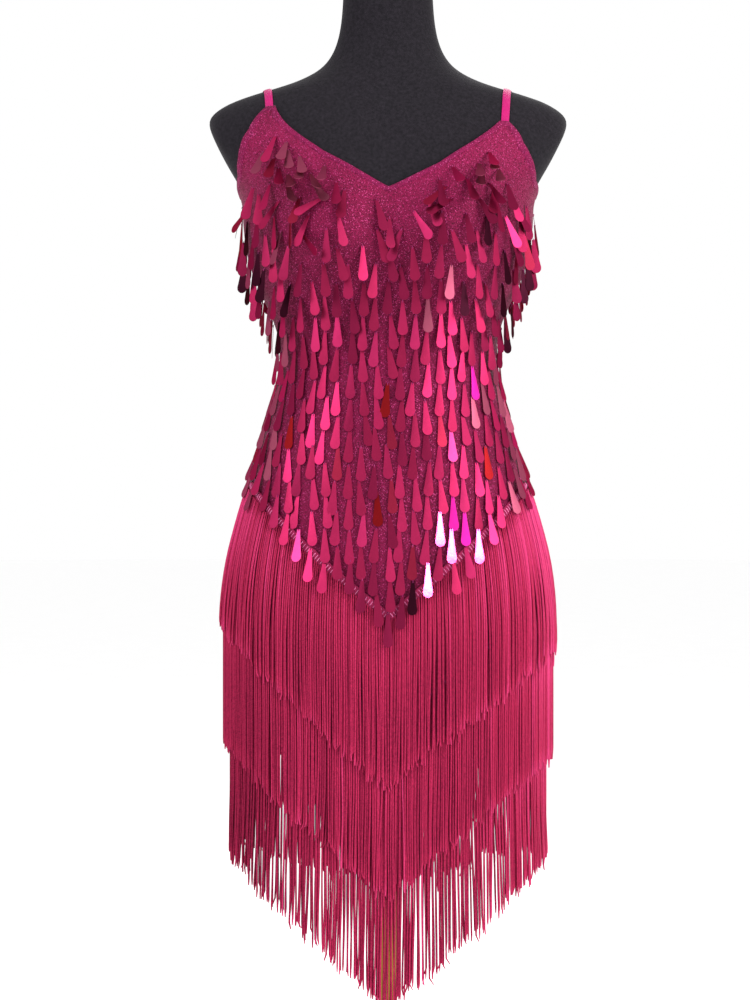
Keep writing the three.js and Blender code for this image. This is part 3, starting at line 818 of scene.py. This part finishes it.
# %% Threads
def threads(paths, radii, side, up, sides=5):
    count, steps = paths.shape[:2]
    turn = 2 * math.pi * np.arange(sides) / sides
    side, up = np.asarray(side)[..., None, :], np.asarray(up)[..., None, :]
    ring = np.cos(turn)[:, None] * side + np.sin(turn)[:, None] * up
    points = paths[:, :, None, :] + radii[:, :, None, None] * ring
    n = np.arange(count * steps * sides).reshape(count, steps, sides)
    m = np.roll(n, -1, axis=2)
    walls = quads(n[:, :-1], n[:, 1:], m[:, 1:], m[:, :-1])
    faces = walls.tolist() + n[:, 0].tolist() + n[:, -1, ::-1].tolist()
    run = run_along(paths)
    shape = (count, steps - 1, sides)
    k = np.broadcast_to(np.arange(sides), shape) / sides
    low = np.broadcast_to(run[:, :-1, None], shape)
    high = np.broadcast_to(run[:, 1:, None], shape)
    corner_u = np.stack([k, k, k + 1 / sides, k + 1 / sides], axis=-1)
    corner_v = np.stack([low, high, high, low], axis=-1)
    uv = np.stack([corner_u, corner_v], axis=-1).reshape(-1, 2)
    return points.reshape(-1, 3), faces, np.concatenate([uv, np.zeros((2 * count * sides, 2))])


# %% [markdown]
# ## Fringe
# Each tier is a woven heading tape, sewn on with a ladder of pale stitches, and a few hundred
# threads. Sewn cloth can't hold threads evenly: they draw together into locks about 15 mm
# wide, with a dark gap between, which opens as they fall. Threads lie on the hip down to its
# widest point and then hang straight, because nothing pulls them back in.

# %% Fringe tiers
TAPE_INSIDE, TAPE_THICK, TAPE_HALF = 0.0050, 0.0012, 0.0041
HIP = 0.712
THREAD_STEPS = 13
hip_angles = np.linspace(0, 360, 2881)
hip_run = arc(hip_angles, HIP, 0.006)


def hip_angle(run):
    return np.interp(run % hip_run[-1], hip_run, hip_angles)


def tape_reach(angle, front, rise):
    """How far a tape reaches up and down from its middle, to keep its width square to it."""
    step = 0.3
    climb = pointed(angle + step, front, rise) - pointed(angle - step, front, rise)
    level = figure(angle + step, HIP) - figure(angle - step, HIP)
    return TAPE_HALF * np.sqrt(1 + (climb / np.linalg.norm(level, axis=-1)) ** 2)


def heading(tier, front, rise):
    angle, share = np.meshgrid(
        hip_angle(np.linspace(0, hip_run[-1], 361)[:-1]), np.linspace(-1, 1, 5), indexing="ij"
    )
    z = pointed(angle, front, rise) + share * tape_reach(angle, front, rise)
    edge = (1 - share**4) * 0.0003
    outer = figure(angle, z, TAPE_INSIDE + TAPE_THICK + edge)
    inner = figure(angle, z, TAPE_INSIDE)
    points, faces = wall(outer, inner, closed=True)
    flat = laid_flat(angle, z, 0.0025)
    return piece(f"{tier}_heading_tape", points, faces, tape_weave, "fringe_thread", flat)


def ladder(tier, front, rise, seed):
    """Short upright stitches, square to the tape, with a gap between each two."""
    rng = np.random.default_rng(seed)
    count = int(hip_run[-1] / 0.0029)
    run = np.arange(count) * hip_run[-1] / count + rng.normal(0, 0.00018, count)
    angle = hip_angle(run)
    off = TAPE_INSIDE + TAPE_THICK + 0.0005
    ahead = figure(angle + 0.4, pointed(angle + 0.4, front, rise), off)
    behind = figure(angle - 0.4, pointed(angle - 0.4, front, rise), off)
    along = unit(ahead - behind)
    out = unit(np.cross(along * (1, 1, 0), (0, 0, 1)))
    upright = np.cross(out, along)
    middle = (ahead + behind) / 2
    reach = rng.uniform(0.0031, 0.0037, count)[:, None] * np.array([-1, -0.6, 0, 0.6, 1])
    sunk = np.array([-0.0011, -0.0001, 0.0001, -0.0001, -0.0011])
    paths = middle[:, None] + reach[..., None] * upright[:, None] + sunk[:, None] * out[:, None]
    radii = np.broadcast_to(np.array([0.8, 1, 1, 1, 0.8]) * 0.00042, paths.shape[:2])
    points, faces, uv = threads(paths, radii, along[:, None], out[:, None])
    tone = np.repeat(rng.uniform(0.1, 0.9, count), len(points) // count)
    yarn = ladder_yarn if tier == "fringe_tier_1" else tie_yarn
    return piece(f"{tier}_ladder_stitches", points, faces, yarn, "fringe_thread", uv, tone=tone)


def fringe(tier, front, rise, count, seed, draw, short, wear_and_painted_light):
    """Threads in two layers: `draw` bunches them, `short` trims them, and the last argument sets
    the painted light on the wearer's right hip, which is painted shade below zero.
    """
    rng = np.random.default_rng(seed)
    total = hip_run[-1]
    layer = np.arange(count) % 2
    run = (np.arange(count) + rng.normal(0, 0.12, count)) * total / count
    # The locks: where each begins, and how far a thread is drawn to its lock's middle.
    widths = rng.uniform(0.011, 0.019, int(total / 0.015))
    edges = np.concatenate([[0], np.cumsum(widths)]) * total / widths.sum()
    lock = np.clip(np.searchsorted(edges, run % total, side="right") - 1, 0, len(widths) - 1)
    middle = (edges[lock] + edges[lock + 1]) / 2
    lock_swing = rng.normal(0, 0.0009, len(widths))[lock]
    lock_length = rng.normal(0, 0.0016, len(widths))[lock]
    length = 0.170 + lock_length + rng.normal(0, 0.0028, count) - layer * 0.003
    length += np.where(rng.random(count) < 0.05, rng.uniform(0.003, 0.009, count), 0)
    # Towards the wearer's right hip they are trimmed a little shorter.
    length -= short * np.maximum(-np.sin(np.radians(hip_angle(run))), 0) ** 2
    part = np.append(np.linspace(0, 0.96, THREAD_STEPS - 1), 1) ** 0.92
    drop = length[:, None] * part
    pull = np.clip((part - 0.12) / 0.7, 0, 1)
    pull = pull * pull * (3 - 2 * pull)
    sway = rng.uniform(0, 2 * math.pi, (count, 1))
    quick = rng.uniform(0, 2 * math.pi, (count, 1))
    wobble = 0.0006 * part * np.sin(3.1 * part + sway) + 0.0004 * part * np.sin(9 * part + quick)
    strays = np.where(rng.random(count) < 0.05, rng.normal(0, 0.003, count), 0)
    shift = (run % total - middle) * -draw
    course = run[:, None] + shift[:, None] * pull + wobble
    course += (lock_swing + strays)[:, None] * part**1.6
    course[:, -1] += np.where(rng.random(count) < 0.3, rng.normal(0, 0.0022, count), 0)
    angle = hip_angle(course)
    start = hip_angle(run)
    root = pointed(start, front, rise) - tape_reach(start, front, rise) + 0.0012
    z = root[:, None] - drop
    off = TAPE_INSIDE + 0.0004 + (1 - layer)[:, None] * 0.0017 + 0.035 * drop
    off = off + 0.0009 * part * np.sin(4.3 * part + quick + 1.0) + rng.normal(0, 0.0003, (count, 1))
    paths = figure(angle, z, off)
    # A hanging thread never swings back in under what it lies on.
    far = np.hypot(paths[..., 0], paths[..., 1])
    paths[..., :2] *= (np.maximum.accumulate(far, axis=1) / far)[..., None]
    thick = rng.uniform(0.00095, 0.00115, (count, 1))
    taper = np.interp(part, [0, 0.03, 0.97, 1], [0.8, 1, 1, 0.6])
    points, faces, uv = threads(paths, thick * taper, (1, 0, 0), (0, 1, 0))
    lock_tone = rng.uniform(-0.06, 0.06, len(widths))[lock]
    # The inner layer is painted darker, a painted shade under the outer one.
    tone = 0.62 - 0.18 * layer + lock_tone + rng.normal(0, 0.12, count)
    # Along each thread: painted shade where it comes out from under the tape, painted light on its
    # upper part, and paler tips.
    painted_light_shade_and_paler_tips = np.interp(part, [0, 0.04, 0.3, 0.6, 0.92, 1], [-0.1, 0.16, 0.12, -0.04, -0.04, 0.3])
    # Over the hips the threads are painted paler, a painted light where the hips face the light,
    # and on the wearer's left more than on the right. On the lower tiers the wearer's right hip is
    # painted darker instead, a painted shade.
    aside = np.sin(np.radians(start))
    hip_painted_light_and_shade = np.clip(np.abs(aside) * 1.7 - 0.7, 0, 1) * np.where(aside > 0, 1, wear_and_painted_light)
    hip_painted_light_and_shade = hip_painted_light_and_shade[:, None] * np.interp(part, [0, 0.5, 1], [0.5, 0.35, 0.2])
    tone = tone[:, None] + painted_light_shade_and_paler_tips + hip_painted_light_and_shade
    tone = np.repeat(np.clip(tone, 0, 1.5), len(points) // tone.size)
    name = f"{tier}_threads"
    made = piece(name, points, faces, fringe_yarn, "fringe_thread", uv, sharp=80, tone=tone)
    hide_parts(tier)
    return made


# The last number is the painted light on the wearer's right hip; below zero it is painted shade.
for seed, front, rise, count, draw, short, wear_and_painted_light in [
    (1, 0.722, 0.136, 780, 0.10, 0.026, 0.8),
    (2, 0.610, 0.138, 760, 0.09, 0.014, -0.3),
    (3, 0.498, 0.143, 520, 0.03, 0.004, -0.5),
]:
    node = f"fringe_tier_{seed}"
    tape, stitches = heading(node, front, rise), ladder(node, front, rise, 20 + seed)
    hanging = fringe(node, front, rise, count, 40 + seed, draw, short, wear_and_painted_light)

# %% [markdown]
# ## One sequin
# A teardrop 35 mm long, 10 mm wide near its round lower end and 3 mm at its flat top. It
# starts as a grid whose rows are resized one by one, and gets its thickness from Solidify.
# Film that is punched out and sewn on never stays quite flat, so the rows are dished too.

# %% Sequin
SEQUIN_LONG, SEQUIN_HALF = 0.035, 0.0053
ROWS = np.array([0, 0.13, 0.28, 0.44, 0.59, 0.72, 0.83, 0.91, 0.96, 0.988, 1.0])
round_from = 1 - SEQUIN_HALF / SEQUIN_LONG
HALVES = np.where(
    ROWS < round_from - 0.02,
    0.0015 + (SEQUIN_HALF - 0.0016) * (ROWS / round_from) ** 1.12,
    np.sqrt(np.maximum(SEQUIN_HALF**2 - ((ROWS - round_from) * SEQUIN_LONG) ** 2, 4e-7)),
)

bpy.ops.mesh.primitive_grid_add(x_subdivisions=2, y_subdivisions=10, size=2)
sequin = bpy.context.object
sequin.name = "sequin_pattern"
levels = sorted({round(vertex.co.y, 4) for vertex in sequin.data.vertices})
rows = [[v for v in sequin.data.vertices if abs(v.co.y - level) < 0.01] for level in levels]
for on_row, row, half in zip(rows, ROWS, HALVES):
    for vertex in on_row:
        share = vertex.co.x
        dish = 0.00013 * (1 - share**2) * math.sin(math.pi * row) - 0.0007 * (row - 0.5) ** 2
        vertex.co = (share * half, row * SEQUIN_LONG, dish)
thickness = sequin.modifiers.new("film", "SOLIDIFY")
thickness.thickness, thickness.offset = 0.0003, 0
pick(sequin)
bpy.ops.object.modifier_apply(modifier="film")
bpy.ops.object.mode_set(mode="EDIT")
bpy.ops.mesh.select_all(action="SELECT")
bpy.ops.mesh.normals_make_consistent(inside=False)
bpy.ops.object.mode_set(mode="OBJECT")
drop_points = np.array([vertex.co for vertex in sequin.data.vertices])
drop_faces = [list(polygon.vertices) for polygon in sequin.data.polygons]
bpy.data.objects.remove(sequin)
print("sequin:", len(drop_points), "points,", len(drop_faces), "faces")

# %% [markdown]
# ## Where the sequins hang
# The cloth is sewn in upright columns 13 mm apart. In a column each sequin begins where the
# last one ends, and the next column is half a step lower. A plain band is left under the
# neckline. Hands sew them on, so no row is quite straight.

# %% Sequin places
ROW_STEP, COLUMN_STEP = 0.0166, 0.0129
# How far under the neckline they begin, in millimetres, from the middle out to the armhole.
BARE = [20, 12, 11, 18, 28, 24]
# Where some have come off: across, height and reach.
LOST = [
    (-0.030, 1.116, 0.017), (-0.038, 1.134, 0.013), (0.094, 1.100, 0.011),
    (-0.118, 1.140, 0.011), (-0.072, 1.094, 0.010),
]
rng = np.random.default_rng(11)


def sequin_places(front):
    near = np.linspace(0, 90, 181) if front else np.linspace(180, 90, 181)
    found = []
    for k, level in enumerate(np.arange(1.226 if front else 1.158, 0.72, -ROW_STEP)):
        run = arc(near, level, CLOTH_OUTSIDE)
        columns = np.arange(-40, 41) * 2 * COLUMN_STEP + (k % 2) * COLUMN_STEP
        columns = columns[np.abs(columns) < run[-1] - 0.003]
        columns = columns + rng.normal(0, 0.0011, len(columns))
        z = level + rng.normal(0, 0.0014, len(columns))
        angle = np.interp(np.abs(columns), run, near)
        angle = np.where(columns < 0, (-angle if front else 360 - angle), angle)
        x = figure(angle, z)[:, 0]
        bare = np.interp(np.abs(x), [0, 0.03, 0.09, 0.112, 0.125, 0.145], BARE) / 1000
        rim = front_top(angle) - bare if front else back_top(angle) - 0.014
        low = waist_seam(angle) + 0.003 + 0.01 * np.abs(np.sin(np.radians(angle))) ** 6
        keep = (z < rim) & (z > low)
        for lost_x, lost_z, reach in LOST if front else []:
            keep &= np.hypot(x - lost_x, z - lost_z) > reach
        found.append(np.stack([angle[keep], z[keep]], axis=1))
        # Over the bust more are sewn in between the rows.
        close = keep & (np.abs(np.abs(x) - 0.086) < 0.046) & front & (1.15 < level < 1.21)
        close &= rng.random(len(x)) < 0.7
        found.append(np.stack([angle[close] + 3, z[close] - ROW_STEP * 0.45], axis=1))
    return np.concatenate(found)


front_places, back_places = sequin_places(True), sequin_places(False)
print("sequins:", len(front_places), "in front,", len(back_places), "behind")

# %% [markdown]
# ## Colours of the sequins
# Each sequin takes one of ten shades by chance, and the chances differ from place to place. The
# bust, the hollow under it, the sides and the point of the waist seam have more dark ones, a
# painted shade. The top of the bust and the lower sides have more rose-brown ones, a painted
# reflection, and the scattered pink and orchid ones are painted highlights. A few at the hip are
# pink or orchid: the pink ones are turned to flash the window back and their pink adds a painted
# highlight, and the orchid one is a painted highlight alone.

# %% Dyes
# Near-black is only painted shade, rose-brown mostly a painted reflection, and pink and orchid
# mostly painted highlights.
DYES_AND_PAINTED_LIGHT = ["a4244f", "8e1e42", "761838", "b42a5c", "861e36",
        "7c1414", "cc3c7a", "b81e80", "94465c", "240a14"]
WINE, PINK, ORCHID, ROSE_BROWN, NEAR_BLACK = 2, 6, 7, 8, 9


def band(value, middle, reach):
    """1 in the middle of a band, fading out on both sides of it."""
    return np.exp(-(((value - middle) / reach) ** 2))


def parts_of_dress(angle, z, front):
    """How far each sequin is over the bust, on its shelf, under it, in disarray, and aside."""
    aside = np.abs(np.sin(np.radians(angle)))
    bust = band(z, 1.14, 0.05) * front
    shelf = band(z, 1.180, 0.027) * band(np.abs(figure(angle, z)[:, 0]), 0.088, 0.038) * front
    under = band(z, 1.06, 0.045) * np.clip(aside * 2.5 - 1.2, 0, 1)
    messy = np.clip(bust * 0.95 + aside**3 * 0.05 + under * 0.4, 0, 1)
    side = np.clip(aside * 4 - 2.8, 0, 1) * front
    # At the sides they are turned half to the front, most of all under the bust.
    turned_front = np.maximum(band(z, 1.09, 0.06), 0.45) * side
    return bust, shelf, under, messy, side, turned_front


def dye_and_painted_light_each(angle, z, front, flash, painted_gleam):
    """A colour for each: mostly rose, darker at the sides and over the bust, a painted shade, and
    duller rose-brown on the bust's top and low at the sides, a painted reflection.
    """
    bust, shelf, under, messy, side, turned_front = parts_of_dress(angle, z, front)
    # Of the plain chances, the pink and orchid ones are painted highlights and the rose-brown a
    # painted reflection.
    plain = np.array([0.44, 0.26, 0.13, 0.08, 0.05, 0.012, 0.012, 0.012, 0.008, 0.0])
    # Over the bust and under it the chances turn to darker shades, a painted shade, with some
    # rose-brown, a painted reflection.
    painted_shade_odds = np.array([0.20, 0.24, 0.22, 0.05, 0.16, 0.01, 0.0, 0.0, 0.06, 0.06])
    odds = plain[None] * (1 - messy[:, None]) + painted_shade_odds[None] * messy[:, None]
    # More near-black and wine ones under the bust, on the bust's +X half and where the sides turn
    # away, a painted shade.
    odds[:, NEAR_BLACK] += under * (1.1 if front else 0.2) + np.maximum(turned_front - 0.45, 0)
    odds[:, WINE] += under * 0.7 + bust * np.where(angle > 0, 0.4, 0) + turned_front * 0.7
    odds[:, 1:3] += np.clip((z[:, None] - 0.93) / 0.06, 0, 1) * (0.2, 0.1)
    # Rose-brown on the bust's shelf and low at the sides is a painted reflection.
    odds[:, ROSE_BROWN] += shelf * 2.5 + side * np.clip((1.05 - z) / 0.06, 0, 1) * 0.9
    # At the point of the waist seam about a third of them are near-black, a painted shade.
    low = (z < waist_seam(angle) + 0.030) & (np.abs(angle) < 24)
    odds[low] = np.array([0.2, 0.15, 0.2, 0.05, 0.05, 0.0, 0.0, 0.0, 0.0, 0.35])
    pick_at = rng.random(len(z))[:, None] * odds.sum(1, keepdims=True)
    dye_and_painted_light = (np.cumsum(odds, axis=1) < pick_at).sum(1)
    # The ones turned to flash the window also take the brightest pink, a painted highlight over
    # their real flash, and the orchid one is a painted highlight alone.
    dye_and_painted_light[flash], dye_and_painted_light[painted_gleam] = PINK, ORCHID
    colours = np.array([shade(code) for code in DYES_AND_PAINTED_LIGHT])[dye_and_painted_light]
    colours[:, :3] *= rng.uniform(0.88, 1.12, (len(z), 1))
    return colours

# %% [markdown]
# ## Hanging the sequins
# A sequin is sewn at its top and hangs straight down, unless the cloth below it stands out
# further. Then it lies on the cloth, so its slope is the greatest that any point under it
# asks for. Each also swings and turns a little, more so on the bust, where they ride up on
# one another. At the sides they are turned half to the front. A few at the hip are turned to
# face midway between window and camera.

# %% Hanging
# Those that flash, by how far across and how high their tops are, and one orchid, a painted
# highlight.
FLASHES = [(0.058, 0.828), (0.065, 0.802), (0.046, 0.784), (0.094, 0.808)]
PAINTED_GLEAM = (0.080, 0.822)


def hang(name, places, front):
    angle, z = places[:, 0], places[:, 1]
    count = len(angle)
    _, shelf, _, messy, _, turned_front = parts_of_dress(angle, z, front)
    calm = (1 - shelf * 0.65) * (1 - turned_front * 0.7)
    swing = np.radians(rng.normal(0, 3.5 + 16 * messy)) * calm
    yaw = np.radians(rng.normal(0, 4 + 16 * messy)) * (1 - shelf * 0.5)
    yaw += np.sign(angle) * turned_front * rng.uniform(0.3, 1.1, count)
    lift = np.abs(rng.normal(0, 0.03 + 0.18 * messy)) * (1 - turned_front * 0.7) + 0.02
    lift = np.where(z < 0.98, np.minimum(lift, 0.09), lift) + shelf * rng.uniform(0.9, 2.1, count)
    across = unit((cloth(angle + 0.5, z, 0.004) - cloth(angle - 0.5, z, 0.004)) * (1, 1, 0))
    out = np.cross(across, (0, 0, 1))
    # Those that ride up on the bust tip forwards, wherever the cloth faces.
    forward = np.clip(shelf * 1.3, 0, 0.95)[:, None]
    out = unit(out * (1 - forward) + np.array([0, -1, 0]) * forward)
    across = np.cross((0, 0, 1), out)
    near_seam = np.clip(1 - (z - waist_seam(angle)) / 0.03, 0, 1) * 0.0018
    stand = CLOTH_OUTSIDE + 0.0012 + np.abs(np.sin(yaw)) * SEQUIN_HALF * 0.6 + near_seam
    top = cloth(angle, z, stand)
    fall = np.linspace(0.2, 1, 5) * SEQUIN_LONG
    lower_z = z[:, None] - fall
    past = waist_seam(angle)[:, None] + 0.004 - lower_z
    clear = np.where(past > 0, 0.0088 + 0.035 * past, CLOTH_OUTSIDE + 0.0012)
    lower = cloth(angle[:, None], lower_z, clear)
    needed = (((lower - top[:, None]) * out[:, None]).sum(-1) / fall).max(1)
    slope = np.maximum(needed, 0) + lift
    down = unit(out * slope[:, None] - (0, 0, 1))
    face = np.cross(across, -down)
    if front:
        # These face midway between the window and the camera, and flash.
        across_and_up = top[:, [0, 2]]
        flash = [np.linalg.norm(across_and_up - place, axis=1).argmin() for place in FLASHES]
        painted_gleam = np.linalg.norm(across_and_up - PAINTED_GLEAM, axis=1).argmin()
        to_camera = unit(np.array(CAMERA_PLACE) - top[flash])
        midway = unit(to_camera + unit(np.array(WINDOW_PLACE) - top[flash]))
        face[flash] = midway
        down[flash] = unit(down[flash] - (down[flash] * midway).sum(-1, keepdims=True) * midway)
        across[flash] = np.cross(-down[flash], midway)
        top[flash] += out[flash] * 0.002
        swing[flash] = yaw[flash] = 0
    else:
        flash, painted_gleam = [], 0
    c, s = np.cos(swing)[:, None], np.sin(swing)[:, None]
    down, across = down * c + across * s, across * c - down * s
    c, s = np.cos(yaw)[:, None], np.sin(yaw)[:, None]
    across, face = across * c + face * s, face * c - across * s
    points = (
        top[:, None]
        + across[:, None] * drop_points[:, :1]
        + down[:, None] * drop_points[:, 1:2]
        + face[:, None] * drop_points[:, 2:]
    )
    faces = np.array(drop_faces)[None] + (np.arange(count) * len(drop_points))[:, None, None]
    colours = dye_and_painted_light_each(angle, z, front, flash, painted_gleam)
    dull = rng.uniform(0.30, 0.44, count)
    dull[flash] = 0.13
    shown = {
        "dye_and_painted_light": np.repeat(colours, len(drop_points), axis=0),
        "dullness": np.repeat(dull, len(drop_points)),
    }
    points, faces = points.reshape(-1, 3), faces.reshape(-1, 4).tolist()
    made = piece(name, points, faces, foil, "glitter_cloth", sharp=50, **shown)
    # The stitch that holds each one: a short thread over its flat top.
    reach = np.array([-0.0016, 0.0002, 0.0022])
    bow = np.array([-0.0009, 0.0006, 0.0004]) - near_seam[:, None] * np.array([1, 0, 0])
    paths = top[:, None] + reach[:, None] * down[:, None] + bow[..., None] * face[:, None]
    radii = np.broadcast_to(np.array([0.5, 1, 0.6]) * 0.00045, paths.shape[:2])
    points, faces, uv = threads(paths, radii, across[:, None], face[:, None], 4)
    tone = np.repeat(rng.uniform(0, 1, count), len(points) // count)
    name = f"{name}_stitches"
    return [made, piece(name, points, faces, tie_yarn, "fringe_thread", uv, tone=tone)]


front_sequins = hang("sequins_front", front_places, True)
back_sequins = hang("sequins_back", back_places, False)
